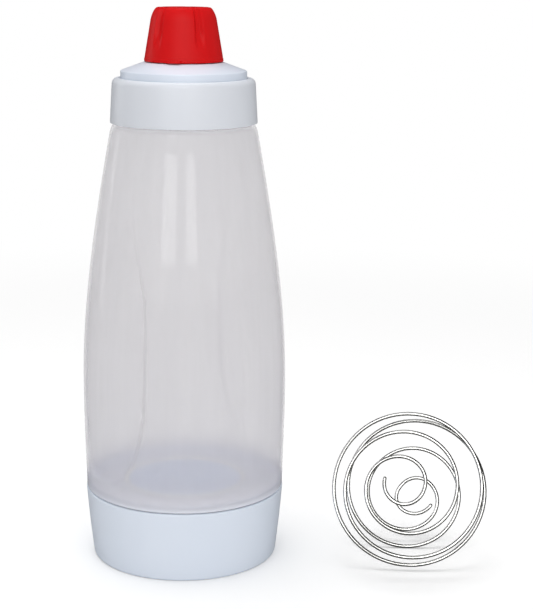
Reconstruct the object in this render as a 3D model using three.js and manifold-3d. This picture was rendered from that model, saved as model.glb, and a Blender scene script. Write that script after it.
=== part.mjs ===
// Squeeze bottle that shakes, froths and pours cold foam, with the loose wire whisk ball that goes in it.
// Millimetres, +Z up. The origin is the centre of the flat foot, and the front of the bottle faces -Y.
import * as THREE from "three";
import { mergeVertices } from "three/addons/utils/BufferGeometryUtils.js";
import Module from "manifold-3d";

// Fits that several pieces share
const SEAT_GAP = 0.3;
const SLIDE_GAP = 0.35;
const THREAD_ROOM = 1.3;

// Base cup, screwed under the bottle
const BASE = {
  height: 36.4,
  footRadius: 47.6,
  footRound: 1.8,
  rimRadius: 50.75,
  bulge: 0.4,
  floor: 2.2,
  wall: 2.1,
  threadRadius: 46.5,
  threadFrom: 22.6,
  shelf: 34.4,
  lip: 1.5,
};

// Ring that seals the base cup against the bottle
const BASE_GASKET = { thickness: 1.8, innerRadius: 45.5 };

// Bottle shell
const BOTTLE = {
  wall: 1.5,
  bottom: 36.8,
  bottomRadius: 50.9,
  bottomRound: 0.6,
  bottomFlare: 0.4,
  bellyRadius: 51.8,
  bellyHeight: 90,
  shoulderRadius: 37.1,
  shoulderHeight: 217.6,
  shoulderSlope: 0.18,
  shoulderTop: 223.2,
  shoulderBend: 4,
  shoulderDraw: 0.7,
  neckBend: 2.5,
  neckRadius: 33.3,
  lipHeight: 238.8,
  lipRound: 0.5,
  floor: 2,
  floorRound: 4,
  pushUp: 1.4,
  pushUpRadius: 31,
  skirtRadius: 45.2,
  skirtWall: 1.8,
  skirtEnd: 24.6,
};

// Finger grips pressed into opposite sides of the bottle
const GRIP = {
  azimuths: [-51.8, 128.2],
  halfWidth: 33.5,
  narrowing: 13,
  narrowFrom: 132,
  narrowTo: 192,
  low: 49,
  cornerWidth: 24,
  cornerHeight: 33,
  edge: 0.3,
  depth: 1.6,
  fadeFrom: 132,
  fadeTo: 207,
};

// Ring under the lid
const NECK_GASKET = { thickness: 1.6, outerRadius: 33.9 };

// Collar that screws the lid down
const COLLAR = {
  bottom: 224,
  bottomRadius: 36.65,
  topRadius: 35.4,
  top: 245.8,
  shoulderRound: 3.2,
  edgeRound: 0.5,
};

// Lid with its pouring spout
const DOME = {
  flangeRadius: 34,
  flange: 1.6,
  radius: 31.25,
  edge: 249.3,
  edgeRound: 0.7,
  landing: 253.5,
  landingRadius: 19.8,
  wall: 2,
  barrelWall: 2.05,
  spoutRadius: 13,
  spoutTop: 274,
  spoutRound: 0.6,
  spoutWall: 2.3,
  mouthRadius: 7.5,
  mouthLip: 2.5,
};

// Slit valve in the spout and the ring that holds it
const VALVE = {
  flange: 1.6,
  wall: 0.9,
  stemWall: 1.25,
  bead: 1.45,
  proud: 0.7,
  dish: 1.9,
  slitWidth: 0.4,
  slitLength: 8,
};
const RETAINER = { height: 3.8, wall: 2.8, chamfer: 0.5 };

// Twist cap and its liner
const CAP = {
  bottom: 253.9,
  top: 280,
  bottomRadius: 19.2,
  beltRadius: 18.95,
  belt: 256.6,
  shoulderRadius: 16.25,
  shoulder: 274,
  topRadius: 12.9,
  crownDraw: 0.7,
  crownDrop: 2,
  bandHeight: 1.7,
  bandProud: 0.2,
  sleeveWall: 1.6,
  shellWall: 1.7,
  sleeveRise: 1.3,
  pocketTop: 265,
  flutes: 5,
  fluteAzimuth: -41,
  fluteHalfWidth: 9,
  fluteDepth: 1.1,
  fluteFrom: 256,
  lugAzimuth: -11,
  lugWidth: 7,
  lugReach: 1.5,
  lugHeight: 1.3,
};
const LINER = { thickness: 1.7, plugReach: 0.4 };

// Whisk ball: one wire wound from pole to pole, with its angle from the near pole at even steps of turning
const BALL = {
  diameter: 79.8,
  wire: 1.9,
  turns: 6.449,
  startAngle: 167,
  polarAngles: [
    ...[15.5, 14.6, 14.6, 20.5, 31, 38.5, 41.3, 45.3, 57.5, 69.9, 75.2, 76.3],
    ...[83.2, 94.5, 109, 121, 132.8, 140.6, 143.1, 143.6, 153.7, 164.7, 169.4, 164.7, 162.4],
  ],
  x: 116.2,
  y: -12.9,
  axisElevation: 22.6,
  axisTurn: -8.9,
  stepsPerTurn: 24,
  sides: 6,
};

// Mesh fineness
const ROUND_STEPS = 40;
const SMALL_STEPS = 28;
const FLUTED_STEPS = 60;
const CORNER_STEPS = 2;
const LOWER_WALL_STEPS = 5;
const UPPER_WALL_STEPS = 8;
const WELD = 1e-4;

const wasm = await Module();
wasm.setup();

const rad = THREE.MathUtils.degToRad;
const smooth = THREE.MathUtils.smoothstep;
const at = (radius, height) => new THREE.Vector2(radius, height);

const whitePlastic = new THREE.MeshStandardMaterial({ color: 0xe4e8f2, roughness: 0.35, metalness: 0 });
const milkyPlastic = new THREE.MeshStandardMaterial({
  color: 0xdcdadf,
  roughness: 0.3,
  metalness: 0,
  transparent: true,
  opacity: 0.5,
});
const redPlastic = new THREE.MeshStandardMaterial({ color: 0xcf2124, roughness: 0.35, metalness: 0 });
const silicone = new THREE.MeshStandardMaterial({ color: 0xd8dade, roughness: 0.6, metalness: 0 });
const steelWire = new THREE.MeshStandardMaterial({ color: 0xc9cbcc, roughness: 0.18, metalness: 1 });

// Points of an outline given as corners [radius, height, round], where round is left out on a sharp corner.
function rounded(corners) {
  const points = [];
  corners.forEach(([radius, height, round], i) => {
    const corner = at(radius, height);
    if (!round) {
      points.push(corner);
      return;
    }
    const before = at(...corners[i - 1]).sub(corner).normalize();
    const after = at(...corners[i + 1]).sub(corner).normalize();
    const reach = round / Math.tan(before.angleTo(after) / 2);
    const start = corner.clone().addScaledVector(before, reach);
    const end = corner.clone().addScaledVector(after, reach);
    points.push(...new THREE.QuadraticBezierCurve(start, corner, end).getPoints(CORNER_STEPS));
  });
  return points;
}

// Solid of revolution about Z, from an outline that runs up the outside and down the inside.
function revolve(outline, steps = ROUND_STEPS, azimuth = 0) {
  return new THREE.LatheGeometry(outline, steps, rad(azimuth)).rotateX(Math.PI / 2);
}

// Flat ring with both edges of its outer face chamfered.
function ring(inner, outer, bottom, top, chamfer, steps) {
  const outline = [
    at(inner, bottom),
    at(outer - chamfer, bottom),
    at(outer, bottom + chamfer),
    at(outer, top - chamfer),
    at(outer - chamfer, top),
    at(inner, top),
    at(inner, bottom),
  ];
  return revolve(outline, steps);
}

function toSolid(geometry) {
  const bare = geometry.clone();
  bare.deleteAttribute("normal");
  bare.deleteAttribute("uv");
  const merged = mergeVertices(bare, WELD);
  const vertProperties = merged.attributes.position.array;
  const triVerts = new Uint32Array(merged.index.array);
  return new wasm.Manifold(new wasm.Mesh({ numProp: 3, vertProperties, triVerts }));
}

function toGeometry(solid) {
  const mesh = solid.getMesh();
  const geometry = new THREE.BufferGeometry();
  geometry.setAttribute("position", new THREE.BufferAttribute(new Float32Array(mesh.vertProperties), 3));
  geometry.setIndex(new THREE.BufferAttribute(new Uint32Array(mesh.triVerts), 1));
  geometry.computeVertexNormals();
  return geometry;
}

// Moves each vertex towards the axis by press(azimuth, height) millimetres.
function pressIn(geometry, press) {
  const places = geometry.attributes.position;
  for (let i = 0; i < places.count; i++) {
    const x = places.getX(i);
    const y = places.getY(i);
    const radius = Math.hypot(x, y);
    const azimuth = THREE.MathUtils.radToDeg(Math.atan2(x, -y));
    const scale = radius > 0 ? 1 - press(azimuth, places.getZ(i)) / radius : 1;
    places.setXY(i, x * scale, y * scale);
  }
  geometry.computeVertexNormals();
  return geometry;
}

// Degrees between two azimuths, from 0 to 180.
function apart(a, b) {
  return Math.abs(THREE.MathUtils.euclideanModulo(a - b + 180, 360) - 180);
}

function piece(name, geometry, material) {
  const mesh = new THREE.Mesh(geometry, material);
  mesh.name = name;
  return mesh;
}

// Heights and radii that follow from the sizes above
const baseGasketBottom = BASE.shelf + SEAT_GAP;
const neckGasketBottom = BOTTLE.lipHeight + SEAT_GAP;
const flangeBottom = neckGasketBottom + NECK_GASKET.thickness + SEAT_GAP;
const flangeTop = flangeBottom + DOME.flange;
const spoutBore = DOME.spoutRadius - DOME.spoutWall;
const mouthLedge = DOME.spoutTop - DOME.mouthLip;
const valveTop = mouthLedge - SEAT_GAP;
const valveBottom = valveTop - VALVE.flange;
const valveRadius = spoutBore - SEAT_GAP;
const linerBottom = DOME.spoutTop + SEAT_GAP;
const linerTop = linerBottom + LINER.thickness;
const capBore = DOME.spoutRadius + THREAD_ROOM;

// Cup with a slightly bulged side, a threaded inner wall and a shelf for its gasket inside the rim.
function baseCup() {
  const side = new THREE.QuadraticBezierCurve(
    at(BASE.footRadius, BASE.footRound),
    at((BASE.footRadius + BASE.rimRadius) / 2 + BASE.bulge, BASE.height / 2),
    at(BASE.rimRadius, BASE.height),
  );
  const foot = rounded([
    [0, 0],
    [BASE.footRadius, 0, BASE.footRound],
    [BASE.footRadius, BASE.footRound * 2],
  ]);
  const inside = rounded([
    [BASE.rimRadius - BASE.lip, BASE.height],
    [BASE.rimRadius - BASE.lip, BASE.shelf],
    [BASE.threadRadius, BASE.shelf],
    [BASE.threadRadius, BASE.threadFrom],
    [BASE.footRadius - BASE.wall, BASE.floor, BASE.wall],
    [0, BASE.floor],
  ]);
  const outline = [...foot.slice(0, -2), ...side.getPoints(LOWER_WALL_STEPS), ...inside];
  return piece("base_cup", revolve(outline), whitePlastic);
}

function baseGasket() {
  const outer = BASE.rimRadius - BASE.lip - SEAT_GAP;
  const top = baseGasketBottom + BASE_GASKET.thickness;
  const geometry = ring(BASE_GASKET.innerRadius, outer, baseGasketBottom, top, SEAT_GAP, ROUND_STEPS);
  return piece("base_gasket", geometry, silicone);
}

// Wall of the bottle from its bottom edge to its shoulder, drawn in by the wall thickness for the inside.
function wallCurve(inset) {
  const { bottomRadius, bottom, bottomRound, bottomFlare, bellyRadius, bellyHeight } = BOTTLE;
  const { shoulderRadius, shoulderHeight, shoulderSlope } = BOTTLE;
  const start = bottom + bottomRound;
  const lowerReach = (bellyHeight - start) / 3;
  const upperReach = (shoulderHeight - bellyHeight) / 3;
  const lower = new THREE.CubicBezierCurve(
    at(bottomRadius - inset, start),
    at(bottomRadius + bottomFlare - inset, start + lowerReach),
    at(bellyRadius - inset, bellyHeight - lowerReach),
    at(bellyRadius - inset, bellyHeight),
  );
  const upper = new THREE.CubicBezierCurve(
    at(bellyRadius - inset, bellyHeight),
    at(bellyRadius - inset, bellyHeight + upperReach),
    at(shoulderRadius + shoulderSlope * upperReach - inset, shoulderHeight - upperReach),
    at(shoulderRadius - inset, shoulderHeight),
  );
  return [...lower.getPoints(LOWER_WALL_STEPS), ...upper.getPoints(UPPER_WALL_STEPS).slice(1)];
}

// Depth of the finger grips: crisp at the sides and the round lower end, fading out towards the shoulder.
function gripDepth(azimuth, height) {
  const half = GRIP.halfWidth - GRIP.narrowing * smooth(height, GRIP.narrowFrom, GRIP.narrowTo);
  const spread = Math.min(...GRIP.azimuths.map((middle) => apart(azimuth, middle)));
  const sideways = Math.max(spread - half + GRIP.cornerWidth, 0) / GRIP.cornerWidth;
  const below = Math.max(GRIP.low + GRIP.cornerHeight - height, 0) / GRIP.cornerHeight;
  const pressed = 1 - smooth(Math.hypot(sideways, below), 1 - GRIP.edge / 2, 1 + GRIP.edge / 2);
  const fade = 1 - smooth(height, GRIP.fadeFrom, GRIP.fadeTo);
  return GRIP.depth * pressed * fade;
}

// Thin shell with a threaded neck, a raised floor and a threaded skirt that the base cup screws on to.
function bottleBody() {
  const { bottom, bottomRadius, bottomRound, wall, floor, pushUp, pushUpRadius } = BOTTLE;
  const { skirtRadius, skirtWall, skirtEnd, neckRadius, shoulderTop, lipHeight, lipRound } = BOTTLE;
  const { shoulderRadius, shoulderHeight, shoulderBend, shoulderDraw, neckBend, floorRound } = BOTTLE;
  const floorTop = bottom + floor;
  const mouth = neckRadius - wall;
  const underside = rounded([
    [0, bottom + pushUp],
    [pushUpRadius - floor, bottom + pushUp],
    [pushUpRadius - floor + pushUp, bottom],
    [skirtRadius - skirtWall, bottom],
    [skirtRadius - skirtWall, skirtEnd],
    [skirtRadius, skirtEnd],
    [skirtRadius, bottom],
    [bottomRadius, bottom, bottomRound / 2],
    [bottomRadius, bottom + bottomRound],
  ]);
  const outerShoulder = new THREE.CubicBezierCurve(
    at(shoulderRadius, shoulderHeight),
    at(shoulderRadius - shoulderDraw, shoulderHeight + shoulderBend),
    at(neckRadius + neckBend, shoulderTop),
    at(neckRadius, shoulderTop),
  );
  const neck = rounded([
    [neckRadius, shoulderTop],
    [neckRadius, lipHeight, lipRound],
    [mouth, lipHeight, lipRound],
    [mouth, shoulderTop],
  ]);
  const innerShoulder = new THREE.QuadraticBezierCurve(
    at(mouth, shoulderTop),
    at(mouth + neckBend, shoulderTop - wall),
    at(shoulderRadius - wall, shoulderHeight),
  );
  const inside = wallCurve(wall).reverse();
  const lastWallPoint = inside.findIndex((point) => point.y < floorTop + floorRound);
  const insideFloor = rounded([
    inside[lastWallPoint - 1].toArray(),
    [bottomRadius - wall, floorTop, floorRound],
    [pushUpRadius, floorTop],
    [pushUpRadius - pushUp, floorTop + pushUp],
    [0, floorTop + pushUp],
  ]);
  const outline = [
    ...underside.slice(0, -1),
    ...wallCurve(0),
    ...outerShoulder.getPoints(CORNER_STEPS).slice(1),
    ...neck.slice(1),
    ...innerShoulder.getPoints(CORNER_STEPS).slice(1, -1),
    ...inside.slice(0, lastWallPoint - 1),
    ...insideFloor,
  ];
  const shell = pressIn(revolve(outline, ROUND_STEPS, GRIP.azimuths[0]), gripDepth);
  return piece("bottle_body", shell, milkyPlastic);
}

function neckGasket() {
  const inner = BOTTLE.neckRadius - BOTTLE.wall;
  const top = neckGasketBottom + NECK_GASKET.thickness;
  const geometry = ring(inner, NECK_GASKET.outerRadius, neckGasketBottom, top, SEAT_GAP, ROUND_STEPS);
  return piece("neck_gasket", geometry, silicone);
}

// Ring nut with a rounded shoulder and an inward lip that clamps the flange of the lid.
function collarRing() {
  const lipBottom = flangeTop + SEAT_GAP;
  const lipRadius = DOME.radius + SLIDE_GAP;
  const threadRadius = BOTTLE.neckRadius + THREAD_ROOM;
  const outline = rounded([
    [threadRadius, COLLAR.bottom],
    [COLLAR.bottomRadius, COLLAR.bottom, COLLAR.edgeRound],
    [COLLAR.topRadius, COLLAR.top, COLLAR.shoulderRound],
    [lipRadius, COLLAR.top],
    [lipRadius, lipBottom],
    [threadRadius, lipBottom],
    [threadRadius, COLLAR.bottom],
  ]);
  return piece("collar_ring", revolve(outline), whitePlastic);
}

// Disc with a sloping top, a flat landing for the cap and a threaded spout with an inward lip round its mouth.
function spoutDome() {
  const { radius, edge, edgeRound, landing, landingRadius, wall, barrelWall, spoutRadius } = DOME;
  const { spoutTop, spoutRound, mouthRadius, flangeRadius } = DOME;
  const slope = (landing - edge) / (radius - landingRadius);
  const barrel = radius - barrelWall;
  const outline = rounded([
    [barrel, flangeBottom],
    [flangeRadius, flangeBottom],
    [flangeRadius, flangeTop],
    [radius, flangeTop],
    [radius, edge, edgeRound],
    [landingRadius, landing, edgeRound],
    [spoutRadius, landing],
    [spoutRadius, spoutTop, spoutRound],
    [mouthRadius, spoutTop, spoutRound],
    [mouthRadius, mouthLedge],
    [spoutBore, mouthLedge],
    [spoutBore, landing - wall],
    [landingRadius - slope * wall, landing - wall],
    [barrel, edge + slope * barrelWall - wall],
    [barrel, flangeBottom],
  ]);
  return piece("spout_dome", revolve(outline), whitePlastic);
}

// Flexible dished disc with a cross slit, held by its flange.
function spoutValve() {
  const stem = DOME.mouthRadius - SLIDE_GAP;
  const rim = DOME.spoutTop - VALVE.proud;
  const outline = rounded([
    [0, rim - VALVE.dish - VALVE.wall],
    [stem - VALVE.bead, rim - VALVE.dish / 2 - VALVE.wall],
    [stem - VALVE.stemWall, valveBottom],
    [valveRadius, valveBottom],
    [valveRadius, valveTop],
    [stem, valveTop],
    [stem, rim],
    [stem - VALVE.wall, rim, VALVE.wall / 3],
    [stem - VALVE.bead, rim - VALVE.dish / 2],
    [0, rim - VALVE.dish],
  ]);
  const slit = new THREE.BoxGeometry(VALVE.slitLength, VALVE.slitWidth, VALVE.dish * 3);
  slit.translate(0, 0, rim - VALVE.dish);
  const crossSlit = slit.clone().rotateZ(Math.PI / 2);
  const disc = toSolid(revolve(outline, SMALL_STEPS));
  const geometry = toGeometry(disc.subtract(toSolid(slit)).subtract(toSolid(crossSlit)));
  return piece("spout_valve", geometry, silicone);
}

function valveRetainer() {
  const top = valveBottom - SEAT_GAP;
  const inner = valveRadius - RETAINER.wall;
  const geometry = ring(inner, valveRadius, top - RETAINER.height, top, RETAINER.chamfer, SMALL_STEPS);
  return piece("valve_retainer", geometry, whitePlastic);
}

// Depth of the cap's flutes: none at the lower band, deepest at the top.
function fluteDepth(azimuth, height) {
  const pitch = 360 / CAP.flutes;
  const fromFlute = THREE.MathUtils.euclideanModulo(azimuth - CAP.fluteAzimuth + pitch / 2, pitch) - pitch / 2;
  const across = 1 - smooth(Math.abs(fromFlute), 0, CAP.fluteHalfWidth);
  const up = THREE.MathUtils.clamp((height - CAP.fluteFrom) / (CAP.shoulder - CAP.fluteFrom), 0, 1);
  return CAP.fluteDepth * across * up;
}

// Tapered, fluted shell with an inner threaded sleeve, a band round its lower edge and one small lug.
function twistCap() {
  const { bottom, top, bottomRadius, shoulderRadius, shoulder, topRadius, bandHeight, bandProud } = CAP;
  const { crownDraw, crownDrop, belt, beltRadius } = CAP;
  const bandTop = bottom + bandHeight;
  const taper = (beltRadius - shoulderRadius) / (shoulder - belt);
  const sideRows = [0, 1, 2].map((i) => THREE.MathUtils.lerp(belt, shoulder, i / 3));
  const crown = new THREE.QuadraticBezierCurve(
    at(shoulderRadius, shoulder),
    at(shoulderRadius - crownDraw, top - crownDrop),
    at(topRadius, top),
  );
  const outside = [
    at(0, bottom),
    at(bottomRadius, bottom),
    at(bottomRadius + bandProud, bottom + bandProud),
    at(bottomRadius + bandProud, bandTop - bandProud),
    at(bottomRadius, bandTop),
    ...sideRows.map((height) => at(beltRadius - taper * (height - belt), height)),
    ...crown.getPoints(CORNER_STEPS + 1),
    at(0, top),
  ];
  const ceiling = linerTop + SEAT_GAP;
  const sleeveEnd = bottom + CAP.sleeveRise;
  const pocketRadius = beltRadius - taper * (CAP.pocketTop - belt) - CAP.shellWall;
  const inside = [
    at(0, bottom - 1),
    at(bottomRadius - CAP.shellWall, bottom - 1),
    at(bottomRadius - CAP.shellWall, bottom),
    at(pocketRadius, CAP.pocketTop),
    at(capBore + CAP.sleeveWall, CAP.pocketTop),
    at(capBore + CAP.sleeveWall, sleeveEnd),
    at(capBore, sleeveEnd),
    at(capBore, linerBottom - CAP.sleeveRise),
    at(DOME.spoutRadius + SEAT_GAP, linerBottom),
    at(DOME.spoutRadius + SEAT_GAP, ceiling),
    at(0, ceiling),
  ];
  const lug = new THREE.BoxGeometry(CAP.lugWidth, CAP.lugReach * 2, CAP.lugHeight);
  lug.translate(0, -bottomRadius, bottom + CAP.lugHeight / 2);
  lug.rotateZ(rad(CAP.lugAzimuth));
  const shell = pressIn(revolve(outside, FLUTED_STEPS, CAP.fluteAzimuth), fluteDepth);
  const solid = toSolid(shell).add(toSolid(lug)).subtract(toSolid(revolve(inside)));
  return piece("twist_cap", toGeometry(solid), redPlastic);
}

// Soft disc in the top of the cap, with a plug that enters the mouth of the spout.
function capLiner() {
  const plug = DOME.mouthRadius - SLIDE_GAP;
  const outline = [
    at(0, linerBottom - LINER.plugReach),
    at(plug, linerBottom - LINER.plugReach),
    at(plug, linerBottom),
    at(DOME.spoutRadius - SEAT_GAP, linerBottom),
    at(DOME.spoutRadius - SEAT_GAP, linerTop),
    at(0, linerTop),
  ];
  return piece("cap_liner", revolve(outline, SMALL_STEPS), silicone);
}

// Centre line of the whisk wire: a hand-wound spiral over a sphere that ends in a flat loop at each pole.
class WhiskSpiral extends THREE.Curve {
  winding = new THREE.SplineCurve(BALL.polarAngles.map((angle, i) => at(i, angle)));

  getPoint(t, target = new THREE.Vector3()) {
    const polar = rad(this.winding.getPoint(t).y);
    const turn = rad(BALL.startAngle + 360 * BALL.turns * t);
    target.set(Math.sin(polar) * Math.cos(turn), Math.sin(polar) * Math.sin(turn), Math.cos(polar));
    return target.multiplyScalar((BALL.diameter - BALL.wire) / 2);
  }

  // Steps go by turned angle, so that the small end loops are as round as the large ones.
  getUtoTmapping(u) {
    return u;
  }
}

// Least clear distance between stretches of the wire that are at least a quarter turn apart.
function leastGap(points, neighbours) {
  let least = Infinity;
  for (let i = 0; i < points.length; i++) {
    for (let j = i + neighbours; j < points.length; j++) {
      least = Math.min(least, points[i].distanceTo(points[j]));
    }
  }
  return least - BALL.wire;
}

// Springy wire ball that lies beside the bottle, resting on the ground.
function whiskBall() {
  const spiral = new WhiskSpiral();
  const steps = Math.round(BALL.turns * BALL.stepsPerTurn);
  const section = new THREE.Shape();
  for (let i = 0; i < BALL.sides; i++) {
    const angle = (2 * Math.PI * i) / BALL.sides;
    const corner = at(Math.cos(angle), Math.sin(angle)).multiplyScalar(BALL.wire / 2);
    if (i) section.lineTo(corner.x, corner.y);
    else section.moveTo(corner.x, corner.y);
  }
  const wire = new THREE.ExtrudeGeometry(section, { steps, extrudePath: spiral, bevelEnabled: false });
  const ball = piece("whisk_ball", wire, steelWire);
  ball.rotation.set(rad(90 - BALL.axisElevation), 0, rad(BALL.axisTurn), "ZYX");
  ball.position.set(BALL.x, BALL.y, 0);
  ball.updateMatrixWorld(true);
  ball.position.z = -new THREE.Box3().setFromObject(ball, true).min.z;
  const gap = leastGap(spiral.getSpacedPoints(steps * 2), BALL.stepsPerTurn / 2);
  console.log(`whisk ball: least gap of the wire to itself ${gap.toFixed(2)} mm`);
  return ball;
}

const cap = new THREE.Group().add(twistCap(), capLiner());
const lid = new THREE.Group().add(collarRing(), spoutDome(), spoutValve(), valveRetainer(), neckGasket(), cap);
const bottle = new THREE.Group().add(bottleBody(), lid);
const dispenser = new THREE.Group().add(baseCup(), baseGasket(), bottle, whiskBall());

export default dispenser;
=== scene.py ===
"""Looks of a cold foam dispenser: a milky squeeze bottle with a white base and lid, a red twist cap and a whisk ball.

Sizes stand in millimetres in the classes and become metres where a mesh is made. Azimuths are degrees from the front
of the bottle, which faces -Y, towards +X.
"""

from __future__ import annotations

import logging
import math
from collections.abc import Callable, Sequence
from dataclasses import dataclass
from enum import Enum
from functools import cache

import bpy
import numpy as np
from mathutils import Matrix, Vector


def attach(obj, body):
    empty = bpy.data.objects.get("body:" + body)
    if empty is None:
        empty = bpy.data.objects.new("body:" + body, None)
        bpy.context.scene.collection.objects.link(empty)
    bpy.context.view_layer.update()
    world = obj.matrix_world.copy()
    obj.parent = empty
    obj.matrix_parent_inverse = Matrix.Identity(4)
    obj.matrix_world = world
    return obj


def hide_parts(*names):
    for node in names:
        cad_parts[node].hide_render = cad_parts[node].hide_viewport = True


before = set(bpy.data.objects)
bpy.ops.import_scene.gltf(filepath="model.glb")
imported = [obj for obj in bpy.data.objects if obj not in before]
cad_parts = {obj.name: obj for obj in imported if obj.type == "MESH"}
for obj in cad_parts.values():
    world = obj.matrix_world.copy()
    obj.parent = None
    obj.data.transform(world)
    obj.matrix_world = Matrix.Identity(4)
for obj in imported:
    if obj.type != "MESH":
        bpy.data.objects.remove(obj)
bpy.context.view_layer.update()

LOG = logging.getLogger("dispenser")
MM = 0.001
STEPS = 192
CREASE = math.radians(32)
THREAD_SPACING = 0.35
ON_AXIS = 1e-6
NOISE_RANGE = {"From Min": 0.3, "From Max": 0.7}  # most values of a noise texture lie between these
POLYPROPYLENE_IOR = 1.49
# point attribute with the painted highlight along the grip edges
GRIP_EDGE_HIGHLIGHT = "grip_edge_highlight"
WIRE_MAP = "wire"

Point = tuple[float, float]
Profile = list[Point]
Corner = tuple[float, ...]
Relief = Callable[[np.ndarray, np.ndarray], np.ndarray]


class Slot(Enum):
    """Material slots of the record."""

    WHITE = "white_plastic"
    MILKY = "milky_plastic"
    RED = "red_plastic"
    SILICONE = "silicone"
    STEEL = "steel_wire"


class Body(Enum):
    """Bodies that the pieces ride on."""

    BASE = "base"
    BASE_SEAL = "base_seal"
    BOTTLE = "bottle"
    LID = "lid"
    COLLAR = "collar"
    CAP_SEAL = "cap_seal"
    CAP = "cap"
    BALL = "ball"


def linear(code: str) -> tuple[float, float, float, float]:
    """Turns an sRGB hex colour to linear light.

    Args:
        code: colour such as "#E4E8F2".

    Returns:
        Linear red, green and blue, with an alpha of 1.
    """
    shares = [int(code[i : i + 2], 16) / 255 for i in (1, 3, 5)]
    red, green, blue = (s / 12.92 if s <= 0.04045 else ((s + 0.055) / 1.055) ** 2.4 for s in shares)
    return red, green, blue, 1.0


def per_metre(size: float) -> float:
    """Gives the texture scale that draws marks of this size in millimetres."""
    return 1 / (size * MM)


def add(
    tree: bpy.types.NodeTree, kind: str, sockets: dict | None = None, links: dict | None = None, **options: object
) -> bpy.types.Node:
    """Adds a node with its settings and links.

    Args:
        tree: node tree that gets the node.
        kind: Blender's name of the node type.
        sockets: constant values by input name or number.
        links: output sockets by the input name or number that they feed.
        options: properties of the node itself.

    Returns:
        The new node.
    """
    node = tree.nodes.new(kind)
    for name, value in options.items():
        setattr(node, name, value)
    for name, value in (sockets or {}).items():
        node.inputs[name].default_value = value
    for name, source in (links or {}).items():
        tree.links.new(source, node.inputs[name])
    return node


def new_material(name: str) -> tuple[bpy.types.Material, bpy.types.NodeTree, bpy.types.Node]:
    """Starts an empty node material.

    Args:
        name: name of the real material.

    Returns:
        The material, its node tree and its output node.
    """
    material = bpy.data.materials.new(name)
    material.use_nodes = True
    tree = material.node_tree
    tree.nodes.clear()
    return material, tree, add(tree, "ShaderNodeOutputMaterial")


@dataclass(frozen=True)
class Marks:
    """Cloudy marks: their size in millimetres, their detail and the rate of their pattern along each axis."""

    size: float
    detail: float
    rate: tuple[float, float, float] = (1, 1, 1)


@dataclass(frozen=True)
class Opaque:
    """Material with two tones that blend in clouds, and a grain that roughens its skin."""

    name: str
    colour: str
    second: str
    smoothest: float
    roughest: float
    clouds: Marks
    grain: Marks
    grain_strength: float
    grain_depth: float
    uv_map: str = ""

    def shader(self) -> dict[str, float]:
        """Gives the shader's constants."""
        return {}

    @cache
    def material(self) -> bpy.types.Material:
        """Makes the node material, once.

        Returns:
            The material.
        """
        material, tree, output = new_material(self.name)
        if self.uv_map:
            place = add(tree, "ShaderNodeUVMap", uv_map=self.uv_map).outputs[0]
        else:
            place = add(tree, "ShaderNodeTexCoord").outputs["Object"]
        patterns = []
        for marks in (self.clouds, self.grain):
            along = add(tree, "ShaderNodeMapping", {"Scale": marks.rate}, {"Vector": place}).outputs[0]
            size = {"Scale": per_metre(marks.size), "Detail": marks.detail}
            patterns.append(add(tree, "ShaderNodeTexNoise", size, {"Vector": along}).outputs["Fac"])
        clouds, grain = patterns
        shades = {6: linear(self.colour), 7: linear(self.second)}
        tint = add(tree, "ShaderNodeMix", shades, {0: clouds}, data_type="RGBA").outputs[2]
        spread = {**NOISE_RANGE, "To Min": self.smoothest, "To Max": self.roughest}
        rough = add(tree, "ShaderNodeMapRange", spread, {"Value": grain}).outputs[0]
        height = {"Strength": self.grain_strength, "Distance": self.grain_depth * MM}
        bump = add(tree, "ShaderNodeBump", height, {"Height": grain}).outputs[0]
        sources = {"Base Color": tint, "Roughness": rough, "Normal": bump}
        skin = add(tree, "ShaderNodeBsdfPrincipled", self.shader(), sources).outputs[0]
        tree.links.new(skin, output.inputs["Surface"])
        return material


@dataclass(frozen=True)
class MouldedPlastic(Opaque):
    """Injection-moulded polypropylene with a satin skin.

    The pigment drifts a little as the melt flows through the mould, and the eroded steel of the mould leaves a fine
    grain that softens the highlights.
    """

    clouds: Marks = Marks(38.0, 3.0, (1, 1, 0.35))
    grain: Marks = Marks(0.9, 2.0)  # the real grain of about 0.1 mm would not show, so it is drawn coarser
    grain_strength: float = 0.25
    grain_depth: float = 0.02
    gloss: float = 0.5

    def shader(self) -> dict[str, float]:
        """Gives the shader's constants."""
        return {"IOR": POLYPROPYLENE_IOR, "Specular IOR Level": self.gloss}


@dataclass(frozen=True)
class SiliconeRubber(Opaque):
    """Compression-moulded food silicone: matt, a little cloudy, with a dusty bloom."""

    name: str = "moulded silicone rubber"
    colour: str = "#DADCE0"
    second: str = "#CDD0D6"
    smoothest: float = 0.58
    roughest: float = 0.58
    clouds: Marks = Marks(4.0, 4.0)
    grain: Marks = Marks(0.7, 2.0)  # drawn coarser than the real matt skin, which is too fine to show
    grain_strength: float = 0.3
    grain_depth: float = 0.03
    glow: float = 0.2
    glow_reach: float = 1.5
    ior: float = 1.43

    def shader(self) -> dict[str, float]:
        """Gives the shader's constants."""
        return {"IOR": self.ior, "Subsurface Weight": self.glow, "Subsurface Scale": self.glow_reach * MM}


@dataclass(frozen=True)
class DrawnStainless(Opaque):
    """Bright-drawn stainless spring wire: a grey mirror with faint lines along it from the drawing die."""

    name: str = "drawn stainless steel wire"
    colour: str = "#ECECE9"
    second: str = "#E0E0DD"
    smoothest: float = 0.06
    roughest: float = 0.16
    clouds: Marks = Marks(30.0, 3.0, (1, 0.15, 1))  # five lines round the wire
    grain: Marks = Marks(30.0, 3.0, (1, 0.15, 1))
    grain_strength: float = 0.05
    grain_depth: float = 0.01
    uv_map: str = WIRE_MAP  # the way along the wire in metres, and the share of the way round it

    def shader(self) -> dict[str, float]:
        """Gives the shader's constants."""
        return {"Metallic": 1.0}


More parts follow.
